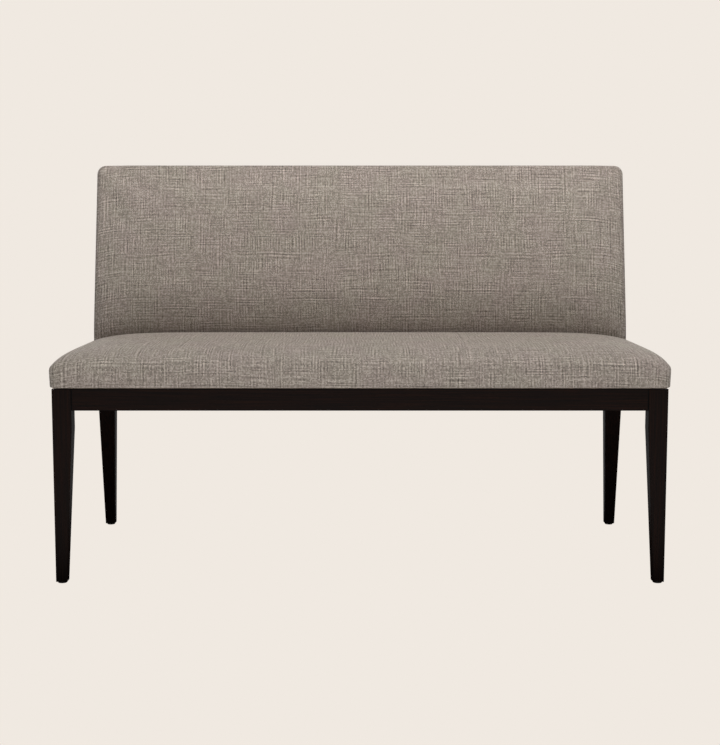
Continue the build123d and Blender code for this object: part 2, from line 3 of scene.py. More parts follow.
import bmesh
import bpy
from mathutils import Matrix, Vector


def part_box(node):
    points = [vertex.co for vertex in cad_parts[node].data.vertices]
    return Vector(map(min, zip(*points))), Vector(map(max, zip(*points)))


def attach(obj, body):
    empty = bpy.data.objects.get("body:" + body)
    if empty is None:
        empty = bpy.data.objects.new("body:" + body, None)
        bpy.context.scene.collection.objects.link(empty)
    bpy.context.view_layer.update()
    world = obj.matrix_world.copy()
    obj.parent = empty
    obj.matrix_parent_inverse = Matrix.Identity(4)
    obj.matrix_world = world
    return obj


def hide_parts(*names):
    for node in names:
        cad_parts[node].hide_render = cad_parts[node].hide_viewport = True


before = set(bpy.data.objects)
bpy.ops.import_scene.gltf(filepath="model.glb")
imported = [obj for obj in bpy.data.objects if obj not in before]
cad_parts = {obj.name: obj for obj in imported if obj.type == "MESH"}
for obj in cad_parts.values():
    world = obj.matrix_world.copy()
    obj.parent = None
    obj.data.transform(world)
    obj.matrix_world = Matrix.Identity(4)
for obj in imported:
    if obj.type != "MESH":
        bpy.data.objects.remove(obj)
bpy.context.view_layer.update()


# Legs and aprons: beech, the legs tapered on the saw and the rear pair raked, all stained almost
# black and sprayed with satin lacquer. Dowels pull each apron up to a fine line at the leg.
def linear(colour):
    """An sRGB hex colour as linear red, green, blue and alpha."""
    parts = [int(colour[i:i + 2], 16) / 255 for i in (1, 3, 5)]
    return [c / 12.92 if c <= 0.04045 else ((c + 0.055) / 1.055) ** 2.4 for c in parts] + [1.0]


def add_node(tree, kind, links=None, values=None, stops=None, **settings):
    """Add one shader node with its settings, socket values, colour stops and links."""
    node = tree.nodes.new(kind)
    for name, setting in settings.items():
        setattr(node, name, setting)
    for socket, number in (values or {}).items():
        node.inputs[socket].default_value = number
    for i, (place, colour) in enumerate(stops or []):
        ramp = node.color_ramp.elements
        stop = ramp[i] if i < 2 else ramp.new(place)
        stop.position = place
        stop.color = linear(colour)
    for socket, output in (links or {}).items():
        tree.links.new(output, node.inputs[socket])
    return node


def start_material(name):
    """A new material with an empty node tree."""
    material = bpy.data.materials.new(name)
    material.use_nodes = True
    material.node_tree.nodes.clear()
    return material, material.node_tree


def finish_nodes(material, *names):
    """Give CAD nodes their material."""
    for name in names:
        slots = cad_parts[name].data.materials
        slots.clear()
        slots.append(material)


def stained_beech(name, along, ends=None):
    """Dark stained beech under satin lacquer: brown streaks of grain a few millimetres wide run the
    length of the part, the short dark flecks of the rays stand in them, and the lacquer is even.
    Stain gathers in a fine black line at the ends, where the part meets another."""
    streak_width, streak_length = 0.0026, 0.16
    fleck_width, fleck_length = 0.0007, 0.009
    joint_width, joint_fade = 0.0016, 0.0014
    material, tree = start_material(name)
    place = add_node(tree, "ShaderNodeTexCoord")
    streak_scale = [1 / streak_length if axis == along else 1 / streak_width for axis in "XYZ"]
    fleck_scale = [1 / fleck_length if axis == along else 1 / fleck_width for axis in "XYZ"]
    streak_place = add_node(tree, "ShaderNodeMapping", {"Vector": place.outputs["Object"]},
                            {"Scale": streak_scale})
    streaks = add_node(tree, "ShaderNodeTexNoise", {"Vector": streak_place.outputs["Vector"]},
                       {"Scale": 1.0, "Detail": 3.0, "Roughness": 0.6})
    fleck_place = add_node(tree, "ShaderNodeMapping", {"Vector": place.outputs["Object"]},
                           {"Scale": fleck_scale})
    flecks = add_node(tree, "ShaderNodeTexNoise", {"Vector": fleck_place.outputs["Vector"]},
                      {"Scale": 1.0, "Detail": 1.0})
    stain = add_node(tree, "ShaderNodeValToRGB", {"Fac": streaks.outputs["Fac"]},
                     stops=[(0.34, "#0f0705"), (0.66, "#22120c"), (0.5, "#170c08")])
    dark_fleck = add_node(tree, "ShaderNodeMapRange", {"Value": flecks.outputs["Fac"]},
                          {"From Min": 0.56, "From Max": 0.7, "To Min": 0.0, "To Max": 0.55})
    colour = add_node(tree, "ShaderNodeMix", {0: dark_fleck.outputs["Result"],
                                              6: stain.outputs["Color"]},
                      {7: linear("#060403")}, data_type="RGBA")
    if ends:
        sides = add_node(tree, "ShaderNodeSeparateXYZ", {"Vector": place.outputs["Object"]})
        for end, inwards in zip(ends, (1, -1)):
            joint = add_node(tree, "ShaderNodeMapRange", {"Value": sides.outputs[along]},
                             {"From Min": end + inwards * (joint_width + joint_fade),
                              "From Max": end + inwards * joint_width})
            colour = add_node(tree, "ShaderNodeMix", {0: joint.outputs["Result"],
                                                      6: colour.outputs[2]},
                              {7: linear("#000000")}, data_type="RGBA")
    gloss = add_node(tree, "ShaderNodeMapRange", {"Value": streaks.outputs["Fac"]},
                     {"From Min": 0.3, "From Max": 0.7, "To Min": 0.4, "To Max": 0.5})
    grain = add_node(tree, "ShaderNodeBump", {"Height": flecks.outputs["Fac"]},
                     {"Strength": 0.25, "Distance": 0.0002})
    shader = add_node(tree, "ShaderNodeBsdfPrincipled",
                      {"Base Color": colour.outputs[2], "Roughness": gloss.outputs["Result"],
                       "Normal": grain.outputs["Normal"]},
                      {"IOR": 1.5, "Specular IOR Level": 0.05})
    add_node(tree, "ShaderNodeOutputMaterial", {"Surface": shader.outputs["BSDF"]})
    return material


corners = ("front_left", "front_right", "rear_left", "rear_right")
finish_nodes(stained_beech("stained_beech_upright", "Z"), *[f"{c}_leg" for c in corners])
for side, along in (("front", "X"), ("rear", "X"), ("left", "Y"), ("right", "Y")):
    ends = [corner["XYZ".index(along)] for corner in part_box(f"{side}_apron")]
    finish_nodes(stained_beech(f"stained_beech_{side}", along, ends), f"{side}_apron")


# Glides: moulded black polypropylene buttons, one nailed under each foot. The mould leaves them
# dull and very finely pitted.
def moulded_polypropylene():
    """Black moulded plastic: a faint grey bloom, and spark-eroded pits about half a millimetre wide."""
    pit = 0.0005
    material, tree = start_material("moulded_polypropylene")
    place = add_node(tree, "ShaderNodeTexCoord")
    pits = add_node(tree, "ShaderNodeTexNoise", {"Vector": place.outputs["Object"]},
                    {"Scale": 1 / pit, "Detail": 2.0})
    colour = add_node(tree, "ShaderNodeValToRGB", {"Fac": pits.outputs["Fac"]},
                      stops=[(0.35, "#0b0b0b"), (0.65, "#171717")])
    texture = add_node(tree, "ShaderNodeBump", {"Height": pits.outputs["Fac"]},
                       {"Strength": 0.3, "Distance": 0.0001})
    shader = add_node(tree, "ShaderNodeBsdfPrincipled",
                      {"Base Color": colour.outputs["Color"], "Normal": texture.outputs["Normal"]},
                      {"IOR": 1.49, "Roughness": 0.55})
    add_node(tree, "ShaderNodeOutputMaterial", {"Surface": shader.outputs["BSDF"]})
    return material


finish_nodes(moulded_polypropylene(), *[f"{c}_glide" for c in corners])


# Corner blocks, crossrail and dowels: bare beech, sawn and left unfinished under the seat. The
# blocks are screwed into the corners and the crossrail is dowelled between front and rear aprons.
def sawn_beech(name, along):
    """Bare beech from the saw: pale pinkish tan, darker growth bands about 5 mm apart along the
    length, short ray flecks, and the saw's fine ridges across it."""
    band, length = 0.005, 0.22
    fleck_width, fleck_length = 0.0008, 0.004
    material, tree = start_material(name)
    place = add_node(tree, "ShaderNodeTexCoord")
    band_scale = [1 / length if axis == along else 1 / band for axis in "XYZ"]
    fleck_scale = [1 / fleck_length if axis == along else 1 / fleck_width for axis in "XYZ"]
    band_place = add_node(tree, "ShaderNodeMapping", {"Vector": place.outputs["Object"]},
                          {"Scale": band_scale})
    bands = add_node(tree, "ShaderNodeTexNoise", {"Vector": band_place.outputs["Vector"]},
                     {"Scale": 1.0, "Detail": 3.0, "Distortion": 0.4})
    fleck_place = add_node(tree, "ShaderNodeMapping", {"Vector": place.outputs["Object"]},
                           {"Scale": fleck_scale})
    flecks = add_node(tree, "ShaderNodeTexNoise", {"Vector": fleck_place.outputs["Vector"]},
                      {"Scale": 1.0, "Detail": 1.0})
    timber = add_node(tree, "ShaderNodeValToRGB", {"Fac": bands.outputs["Fac"]},
                      stops=[(0.3, "#a67f58"), (0.7, "#d2b48c"), (0.5, "#bf9a70")])
    fleck = add_node(tree, "ShaderNodeMapRange", {"Value": flecks.outputs["Fac"]},
                     {"From Min": 0.58, "From Max": 0.7, "To Min": 0.0, "To Max": 0.5})
    colour = add_node(tree, "ShaderNodeMix", {0: fleck.outputs["Result"],
                                              6: timber.outputs["Color"]},
                      {7: linear("#8a6442")}, data_type="RGBA")
    ridges = add_node(tree, "ShaderNodeBump", {"Height": flecks.outputs["Fac"]},
                      {"Strength": 0.5, "Distance": 0.0003})
    shader = add_node(tree, "ShaderNodeBsdfPrincipled",
                      {"Base Color": colour.outputs[2], "Normal": ridges.outputs["Normal"]},
                      {"IOR": 1.5, "Roughness": 0.75, "Specular IOR Level": 0.3})
    add_node(tree, "ShaderNodeOutputMaterial", {"Surface": shader.outputs["BSDF"]})
    return material


beech_across = sawn_beech("sawn_beech_across", "X")
beech_deep = sawn_beech("sawn_beech_deep", "Y")
beech_upright = sawn_beech("sawn_beech_upright", "Z")
finish_nodes(beech_across, *[f"{c}_corner_block" for c in corners], "apron_dowels")
finish_nodes(beech_deep, "crossrail", "crossrail_dowels")


# Screws, lag screws and washers: zinc-plated steel. They hold the blocks, the seat and the back's
# posts, and show only under the seat.
def zinc_plate():
    """Bright zinc plating: a cool grey metal with a soft patchy shine, the patches 2 mm across."""
    patch = 0.002
    material, tree = start_material("zinc_plate")
    place = add_node(tree, "ShaderNodeTexCoord")
    patches = add_node(tree, "ShaderNodeTexNoise", {"Vector": place.outputs["Object"]},
                       {"Scale": 1 / patch, "Detail": 2.0})
    colour = add_node(tree, "ShaderNodeValToRGB", {"Fac": patches.outputs["Fac"]},
                      stops=[(0.3, "#a3a8ad"), (0.7, "#c4c8cb")])
    shine = add_node(tree, "ShaderNodeMapRange", {"Value": patches.outputs["Fac"]},
                     {"To Min": 0.28, "To Max": 0.5})
    shader = add_node(tree, "ShaderNodeBsdfPrincipled",
                      {"Base Color": colour.outputs["Color"], "Roughness": shine.outputs["Result"]},
                      {"Metallic": 1.0})
    add_node(tree, "ShaderNodeOutputMaterial", {"Surface": shader.outputs["BSDF"]})
    return material


zinc = zinc_plate()
finish_nodes(zinc, "corner_block_screws", "seat_screws", "post_lag_screws", "post_washers",
             "back_frame_screws")


# Seat and back frames: flat beech rails, posts and stiles, sawn and left bare, then screwed and
# glued together. The pads hide them all.
finish_nodes(beech_across, "seat_front_rail", "seat_rear_rail", "back_top_rail",
             "back_bottom_rails")
finish_nodes(beech_deep, "seat_left_rail", "seat_right_rail", "seat_middle_rail")
finish_nodes(beech_upright, "back_left_stile", "back_right_stile",
             *[f"back_post_{i}" for i in range(1, 5)])


# Webbing and board: rubber-cored polypropylene straps tacked to the frames, and a sheet of
# hardboard behind the back's foam. Both are inside.
def strap_webbing():
    """Brown-black woven webbing: ribs about 2 mm apart in both directions, with a dull shine."""
    rib = 0.002
    material, tree = start_material("strap_webbing")
    place = add_node(tree, "ShaderNodeTexCoord")
    ribs = add_node(tree, "ShaderNodeTexChecker", {"Vector": place.outputs["Object"]},
                    {"Scale": 1 / rib, "Color1": linear("#2a2622"), "Color2": linear("#4a433b")})
    woven = add_node(tree, "ShaderNodeBump", {"Height": ribs.outputs["Fac"]},
                     {"Strength": 0.5, "Distance": 0.0004})
    shader = add_node(tree, "ShaderNodeBsdfPrincipled",
                      {"Base Color": ribs.outputs["Color"], "Normal": woven.outputs["Normal"]},
                      {"IOR": 1.49, "Roughness": 0.7})
    add_node(tree, "ShaderNodeOutputMaterial", {"Surface": shader.outputs["BSDF"]})
    return material


def pressed_hardboard():
    """Hardboard: hot-pressed brown fibre, flecked at about 1.5 mm, smooth and slightly shiny."""
    fibre = 0.0015
    material, tree = start_material("pressed_hardboard")
    place = add_node(tree, "ShaderNodeTexCoord")
    fibres = add_node(tree, "ShaderNodeTexNoise", {"Vector": place.outputs["Object"]},
                      {"Scale": 1 / fibre, "Detail": 4.0})
    colour = add_node(tree, "ShaderNodeValToRGB", {"Fac": fibres.outputs["Fac"]},
                      stops=[(0.35, "#5d4029"), (0.65, "#80603f")])
    shader = add_node(tree, "ShaderNodeBsdfPrincipled", {"Base Color": colour.outputs["Color"]},
                      {"IOR": 1.5, "Roughness": 0.5})
    add_node(tree, "ShaderNodeOutputMaterial", {"Surface": shader.outputs["BSDF"]})
    return material


finish_nodes(strap_webbing(), "seat_webbing_front_to_back", "seat_webbing_side_to_side",
             "back_webbing")
finish_nodes(pressed_hardboard(), "back_board")


# Seat pad: foam on webbing, covered with slubby linen that runs from under the front edge, over it
# and back in one width. Plain seams join it to the side panels, and it is tacked under the rails.
def slubby_linen(name):
    """Plain-woven linen in mixed greige yarn: the eye sees a fine cross-hatch of pale and dark
    threads, each thick and thin along its length, with slubs a few centimetres long, broken stripes
    where pale and dark yarns alternate, and pale and dark flecks of fibre. Threads follow the
    cloth, so the pattern is read from the piece's own map of metres along the two threads. The real
    cloth has about 1.4 mm from thread to thread, and is drawn at 2.5 mm so that its threads show."""
    thread, warp_slub, weft_slub, fleck = 0.0025, 0.055, 0.085, 0.0025
    stripe, stripe_band, crowding, crowd_scale = 0.0068, 0.022, 7.0, 1.3
    contrast, striping, speckle, crimp = 0.50, 0.53, 0.18, 0.25
    patch, wander, wander_size = 0.09, 0.010, 0.16
    # This step through the noise from one thread to the next keeps neighbouring threads unlike.
    yarn_step = 7.37
    material, tree = start_material(name)
    cloth = add_node(tree, "ShaderNodeUVMap", uv_map="threads")
    wandering = add_node(tree, "ShaderNodeTexNoise", {"Vector": cloth.outputs["UV"]},
                         {"Scale": 1 / wander_size, "Detail": 1.0}, noise_dimensions="2D")
    shift = add_node(tree, "ShaderNodeVectorMath", {0: wandering.outputs["Color"]},
                     {1: (0.5, 0.5, 0.5)}, operation="SUBTRACT")
    along = add_node(tree, "ShaderNodeVectorMath",
                     {0: shift.outputs["Vector"], 2: cloth.outputs["UV"]},
                     {1: (wander, wander, 0.0)}, operation="MULTIPLY_ADD")
    sides = add_node(tree, "ShaderNodeSeparateXYZ", {"Vector": along.outputs["Vector"]})
    yarns, waves, stripes = [], [], []
    for across, length, slub in (("X", "Y", warp_slub), ("Y", "X", weft_slub)):
        count = add_node(tree, "ShaderNodeMath", {0: sides.outputs[across]}, {1: 1 / thread},
                         operation="MULTIPLY")
        number = add_node(tree, "ShaderNodeMath", {0: count.outputs["Value"]}, operation="FLOOR")
        run = add_node(tree, "ShaderNodeMath", {0: sides.outputs[length]}, {1: 1 / slub},
                       operation="MULTIPLY")
        apart = add_node(tree, "ShaderNodeMath", {0: number.outputs["Value"]}, {1: yarn_step},
                         operation="MULTIPLY")
        spot = add_node(tree, "ShaderNodeCombineXYZ", {"X": run.outputs["Value"],
                                                       "Y": apart.outputs["Value"]})
        yarns.append(add_node(tree, "ShaderNodeTexNoise", {"Vector": spot.outputs["Vector"]},
                              {"Scale": 1.0, "Detail": 2.0, "Roughness": 0.6},
                              noise_dimensions="2D"))
        turn = add_node(tree, "ShaderNodeMath", {0: count.outputs["Value"]}, {1: pi},
                        operation="MULTIPLY")
        waves.append(add_node(tree, "ShaderNodeMath", {0: turn.outputs["Value"]},
                              operation="SINE"))
        band = add_node(tree, "ShaderNodeMath", {0: sides.outputs[across]}, {1: 1 / stripe_band},
                        operation="MULTIPLY")
        region = add_node(tree, "ShaderNodeCombineXYZ", {"X": run.outputs["Value"],
                                                         "Y": band.outputs["Value"]})
        depth = add_node(tree, "ShaderNodeTexNoise", {"Vector": region.outputs["Vector"]},
                         {"Scale": 1.0, "Detail": 0.0}, noise_dimensions="2D")
        signed = add_node(tree, "ShaderNodeMapRange", {"Value": depth.outputs["Fac"]},
                          {"To Min": -striping / 2, "To Max": striping / 2})
        uneven = add_node(tree, "ShaderNodeTexNoise", {"W": band.outputs["Value"]},
                          {"Scale": crowd_scale, "Detail": 1.0}, noise_dimensions="1D")
        crowd = add_node(tree, "ShaderNodeMath", {0: uneven.outputs["Fac"]}, {1: crowding},
                         operation="MULTIPLY")
        step = add_node(tree, "ShaderNodeMath", {0: sides.outputs[across],
                                                 2: crowd.outputs["Value"]},
                        {1: 2 * pi / stripe}, operation="MULTIPLY_ADD")
        pairs = add_node(tree, "ShaderNodeMath", {0: step.outputs["Value"]}, operation="SINE")
        stripes.append(add_node(tree, "ShaderNodeMath", {0: pairs.outputs["Value"],
                                                         1: signed.outputs["Result"]},
                                operation="MULTIPLY"))
    weave = add_node(tree, "ShaderNodeMath", {0: waves[0].outputs["Value"],
                                              1: waves[1].outputs["Value"]}, operation="MULTIPLY")
    on_top = add_node(tree, "ShaderNodeMapRange", {"Value": weave.outputs["Value"]},
                      {"From Min": -1.0, "From Max": 1.0, "To Min": 0.1, "To Max": 0.9})
    tone = add_node(tree, "ShaderNodeMix", {0: on_top.outputs["Result"],
                                            2: yarns[0].outputs["Fac"],
                                            3: yarns[1].outputs["Fac"]})
    cells = add_node(tree, "ShaderNodeVectorMath", {0: along.outputs["Vector"]},
                     {1: (fleck, fleck, fleck)}, operation="DIVIDE")
    cell = add_node(tree, "ShaderNodeVectorMath", {0: cells.outputs["Vector"]}, operation="FLOOR")
    flecks = add_node(tree, "ShaderNodeTexWhiteNoise", {"Vector": cell.outputs["Vector"]},
                      noise_dimensions="2D")
    middle = (1 - contrast) / 2
    spots = add_node(tree, "ShaderNodeMapRange", {"Value": flecks.outputs["Value"]},
                     {"To Min": middle - speckle, "To Max": middle + speckle})
    mottle = add_node(tree, "ShaderNodeMath", {0: tone.outputs[0], 2: spots.outputs["Result"]},
                      {1: contrast}, operation="MULTIPLY_ADD")
    for lines in stripes:
        mottle = add_node(tree, "ShaderNodeMath", {0: mottle.outputs["Value"],
                                                   1: lines.outputs["Value"]}, operation="ADD")
    greige = add_node(tree, "ShaderNodeValToRGB", {"Fac": mottle.outputs["Value"]},
                      stops=[(0.0, "#534c46"), (1.0, "#e3d8ce"), (0.5, "#a2988f")])
    patches = add_node(tree, "ShaderNodeTexNoise", {"Vector": cloth.outputs["UV"]},
                       {"Scale": 1 / patch, "Detail": 2.0}, noise_dimensions="2D")
    tint = add_node(tree, "ShaderNodeValToRGB", {"Fac": patches.outputs["Fac"]},
                    stops=[(0.34, "#fffbfa"), (0.66, "#fdfdf8")])
    dyed = add_node(tree, "ShaderNodeMix", {6: greige.outputs["Color"], 7: tint.outputs["Color"]},
                    {0: 1.0}, data_type="RGBA", blend_type="MULTIPLY")
    # Seam lines darken the cloth toward one colour here, and so does painted shade in the back's
    # crease, at the seat's turned-under foot and round the rear panel's rim.
    seam_and_painted_shade = add_node(tree, "ShaderNodeAttribute", attribute_name="seam_and_painted_shade")
    colour = add_node(tree, "ShaderNodeMix", {0: seam_and_painted_shade.outputs["Fac"], 6: dyed.outputs[2]},
                      {7: linear("#5a514e")}, data_type="RGBA")
    height = add_node(tree, "ShaderNodeMath", {0: weave.outputs["Value"],
                                               2: tone.outputs[0]},
                      {1: crimp}, operation="MULTIPLY_ADD")
    relief = add_node(tree, "ShaderNodeBump", {"Height": height.outputs["Value"]},
                      {"Strength": 0.4, "Distance": 0.0008})
    shader = add_node(tree, "ShaderNodeBsdfPrincipled",
                      {"Base Color": colour.outputs[2], "Normal": relief.outputs["Normal"]},
                      {"IOR": 1.5, "Roughness": 0.92, "Specular IOR Level": 0.15,
                       "Sheen Weight": 0.1, "Sheen Roughness": 0.6})
    add_node(tree, "ShaderNodeOutputMaterial", {"Surface": shader.outputs["BSDF"]})
    return material


def start_box(name, low, high):
    """A box between two corners, in edit mode, with nothing else selected."""
    bpy.ops.object.select_all(action="DESELECT")
    middle = [(a + b) / 2 for a, b in zip(low, high)]
    bpy.ops.mesh.primitive_cube_add(size=1.0, location=middle)
    box = bpy.context.object
    box.name = name
    box.data.name = name
    box.scale = [b - a for a, b in zip(low, high)]
    bpy.ops.object.transform_apply(location=True, rotation=True, scale=True)
    bpy.ops.object.mode_set(mode="EDIT")
    return box


def pick(piece, kind, test):
    """In edit mode, select the edges or faces whose middle passes the test."""
    bpy.ops.object.mode_set(mode="OBJECT")
    mesh = piece.data
    for parts in (mesh.vertices, mesh.edges, mesh.polygons):
        parts.foreach_set("select", [False] * len(parts))
    if kind == "FACE":
        for face in mesh.polygons:
            face.select = test(face.center)
    else:
        for edge in mesh.edges:
            ends = [mesh.vertices[i].co for i in edge.vertices]
            edge.select = test((ends[0] + ends[1]) / 2)
    bpy.context.tool_settings.mesh_select_mode = (False, kind == "EDGE", kind == "FACE")
    bpy.ops.object.mode_set(mode="EDIT")


def cut_grid(axis, low, high, pitch):
    """Cut all faces with evenly spaced planes across one axis, both ends included."""
    count = max(1, round((high - low) / pitch))
    normal = [float(a == axis) for a in "XYZ"]
    for i in range(count + 1):
        spot = low + (high - low) * i / count
        bpy.ops.mesh.select_all(action="SELECT")
        bpy.ops.mesh.bisect(plane_co=[n * spot for n in normal], plane_no=normal)


def number_by_place(piece):
    """Number the vertices and faces by where they lie. The cuts and bevels leave the faces in an
    order that changes from run to run, and what the filling does depends on it."""
    mesh = piece.data
    order = sorted(range(len(mesh.vertices)), key=lambda i: mesh.vertices[i].co[:])
    number = {old: new for new, old in enumerate(order)}
    rings = []
    for face in mesh.polygons:
        ring = [number[i] for i in face.vertices]
        first = ring.index(min(ring))
        rings.append(ring[first:] + ring[:first])
    fresh = bmesh.new()
    points = [fresh.verts.new(mesh.vertices[i].co) for i in order]
    for ring in sorted(rings):
        fresh.faces.new([points[i] for i in ring])
    fresh.to_mesh(mesh)
    fresh.free()


def stuff(piece, held, cap):
    """Fill the pad: pressure swells the cover outwards, and no point moves further than the cap.
    The held vertices are the ones tacked to the frame."""
    pressure, steps = 4.0, 20
    tacked = piece.vertex_groups.new(name="tacked")
    tacked.add(sorted(held), 1.0, "REPLACE")
    start = [(v.co.copy(), v.normal.copy()) for v in piece.data.vertices]
    filling = piece.modifiers.new("filling", "CLOTH")
    filling.settings.vertex_group_mass = "tacked"
    filling.settings.use_pressure = True
    filling.settings.uniform_pressure_force = pressure
    filling.settings.effector_weights.gravity = 0.0
    filling.point_cache.frame_start = 1
    filling.point_cache.frame_end = steps
    for step in range(1, steps + 1):
        bpy.context.scene.frame_set(step)
    bpy.ops.object.modifier_apply(modifier="filling")
    bpy.context.scene.frame_set(1)
    for v, (before, outward) in zip(piece.data.vertices, start):
        swell = max(0.0, (v.co - before).dot(outward))
        v.co = before + outward * cap * tanh(swell / cap)
    piece.vertex_groups.clear()


def sew(piece, line, depth):
    """Draw the vertices of a sewn line into the pad and mark them dark in the cloth's colour."""
    normals = {i: piece.data.vertices[i].normal.copy() for i in line}
    for i in line:
        piece.data.vertices[i].co -= normals[i] * depth
    mark = piece.data.attributes.new("seam_and_painted_shade", "FLOAT", "POINT")
    for i in line:
        mark.data[i].value = 1.0


def paint_shade(piece, share):
    """Paint shade into the cloth where it folds or turns under, by a share worked out for each vertex.
    """
    mark = piece.data.attributes["seam_and_painted_shade"].data
    for v in piece.data.vertices:
        mark[v.index].value = max(mark[v.index].value, share(v))


def round_off(piece):
    """One subdivision, applied, and smooth shading."""
    bpy.ops.object.select_all(action="DESELECT")
    piece.select_set(True)
    bpy.context.view_layer.objects.active = piece
    finer = piece.modifiers.new("finer", "SUBSURF")
    finer.levels = 1
    finer.render_levels = 1
    bpy.ops.object.modifier_apply(modifier="finer")
    bpy.ops.object.shade_smooth()


def lay_threads(piece, across):
    """Map the cloth: each face's corners get metres along the two threads."""
    mesh = piece.data
    threads = mesh.uv_layers.new(name="threads")
    for face in mesh.polygons:
        for corner in face.loop_indices:
            spot = mesh.vertices[mesh.loops[corner].vertex_index].co
            threads.data[corner].uv = across(spot, face.normal)


near = 1e-5


def on_outline(across, along, radius):
    """True on an outline with rounded corners. A point's two distances are from where a corner's
    rounding starts."""
    arc_slack = 0.001
    if across > 0 and along > 0:
        return sqrt(across ** 2 + along ** 2) > radius - arc_slack
    return max(across, along) > radius - near


# The back leans from its foot, and the rear of the seat leans with it.
lean = radians(10.9)
back_foot = 0.17113
seat_half, seat_foot_half, seat_flare_top = 0.660, 0.6585, 0.463
seat_front, seat_behind = -0.324, 0.005
seat_rear = back_foot + seat_behind
seat_bottom, seat_top = 0.4222, 0.505
seat_rim, seat_plinth = 0.017, 0.0022
seat_border, seat_recess, turn_under = 0.033, 0.003, 0.0045
corner_radius, edge_radius, rear_radius = 0.023, 0.021, 0.018
seat_grid, side_grid, side_start, rear_margin = 0.011, 0.009, 0.010, 0.004
rear_clear, seam_width, seam_depth = 0.02, 0.0006, 0.0008

seat_pad = start_box("seat_pad", (-seat_half, seat_front, seat_bottom),
                     (seat_half, seat_rear, seat_top))
pick(seat_pad, "FACE", lambda p: p.z < seat_bottom + near)
bpy.ops.mesh.inset(thickness=seat_rim)
bpy.ops.mesh.extrude_region_move(TRANSFORM_OT_translate={"value": (0, 0, -seat_plinth)})
bpy.ops.mesh.inset(thickness=seat_border)
bpy.ops.mesh.extrude_region_move(TRANSFORM_OT_translate={"value": (0, 0, seat_recess)})
pick(seat_pad, "EDGE", lambda p: p.z > seat_top - near and p.y > seat_rear - near)
bpy.ops.transform.translate(value=(0, (seat_top - seat_bottom) * tan(lean), 0))
pick(seat_pad, "EDGE", lambda p: abs(p.x) > seat_half - near and p.y < seat_front + near)
bpy.ops.mesh.bevel(offset=corner_radius, segments=6, affect="EDGES")
seat_lip = seat_rear + (seat_top - seat_bottom) * tan(lean)
pick(seat_pad, "EDGE", lambda p: p.z > seat_top - near and p.y < seat_lip - near)
bpy.ops.mesh.bevel(offset=edge_radius, segments=7, affect="EDGES")
pick(seat_pad, "EDGE", lambda p: p.z > seat_top - near and p.y > seat_lip - near)
bpy.ops.mesh.bevel(offset=rear_radius, segments=6, affect="EDGES")
pick(seat_pad, "EDGE", lambda p: abs(p.z - seat_bottom) < near and p.y < seat_rear - rear_clear
     and on_outline(abs(p.x) - seat_half + corner_radius, seat_front + corner_radius - p.y,
                    corner_radius))
bpy.ops.mesh.bevel(offset=turn_under, segments=3, affect="EDGES")
cut_grid("X", -seat_half + edge_radius, seat_half - edge_radius, seat_grid)
cut_grid("Y", seat_front + corner_radius, seat_rear - rear_margin, seat_grid)
cut_grid("Z", seat_bottom + side_start, seat_top - edge_radius, side_grid)
bpy.ops.object.mode_set(mode="OBJECT")
number_by_place(seat_pad)

# The seam between the top panel and a side panel lies where the rounding meets the side, and turns
# down beside the front corner.
seam_top, seam_front = seat_top - edge_radius, seat_front + corner_radius
seat_seam = [v.index for v in seat_pad.data.vertices
             if abs(v.co.x) > seat_half - near
             and (abs(v.co.z - seam_top) < seam_width and v.co.y > seam_front - seam_width
                  or abs(v.co.y - seam_front) < seam_width and v.co.z < seam_top)]

# The crown falls to the sides and the front, further at the front corners, and a little at the
# rear. The filling is slightly fuller on the right.
crown_drop, side_reach, front_reach = 0.024, 0.055, 0.045
corner_drop, corner_reach = 0.0142, 0.053
rear_drop, rear_reach = 0.007, 0.024
right_fill, fill_reach = 0.0030, 0.030
for v in seat_pad.data.vertices:
    p = v.co
    lift = max(0.0, (p.z - seat_bottom) / (seat_top - seat_bottom))
    aside = exp(-(seat_half - abs(p.x)) / side_reach)
    ahead = exp(-(p.y - seat_front) / front_reach)
    p.z -= lift * crown_drop * (1 - (1 - aside) * (1 - ahead))
    p.z -= lift * corner_drop * aside * exp(-(p.y - seat_front) / corner_reach)
    p.z -= lift * rear_drop * exp(-abs(seat_lip - p.y) / rear_reach)
    if p.x > 0:
        p.z += lift * right_fill * aside * (1 - exp(-(p.y - seat_front) / fill_reach))
    flare = min(1.0, max(0.0, (p.z - seat_bottom) / (seat_flare_top - seat_bottom)))
    p.x *= (seat_foot_half + (seat_half - seat_foot_half) * flare) / seat_half
seat_pad.data.update()
sew(seat_pad, seat_seam, depth=seam_depth)
# Painted shade darkens the cloth in the last few millimetres, where it turns under to the frame.
foot_shade, foot_reach = 0.24, 0.006
paint_shade(seat_pad, lambda v: foot_shade * exp(-max(0.0, v.co.z - seat_bottom) / foot_reach))
round_off(seat_pad)


def seat_threads(p, normal):
    """The top panel runs up the front, over the edge and back, and its threads droop where it is
    pulled down at the corners. On the flat top they are drawn wider apart, because they are seen
    edge on. The side panels run front to rear. Each panel is cut from its own place in the cloth."""
    bend, brow_drop, top_share = 0.038, 0.012, 0.7
    brow = seat_top - brow_drop
    droop, droop_reach = 0.014, 0.045
    side_cut, under_cut, facing = 2.0, (0.7, 1.3), 0.7
    if abs(normal.x) > facing:
        return (p.y + side_cut if p.x > 0 else -p.y - side_cut, p.z)
    if normal.z < -facing:
        return (p.x + under_cut[0], p.y + under_cut[1])
    along = p.z
    if p.y > seat_front + bend:
        along = brow - bend + bend * pi / 2 + top_share * (p.y - seat_front - bend)
    elif p.z > brow - bend:
        along = brow - bend + bend * atan2(p.z - (brow - bend), seat_front + bend - p.y)
    return (p.x, along + droop * exp(-(seat_half - abs(p.x)) / droop_reach))


lay_threads(seat_pad, seat_threads)
linen = slubby_linen("slubby_linen")
seat_pad.data.materials.append(linen)
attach(seat_pad, "root")
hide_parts("seat_cover", "seat_foam")


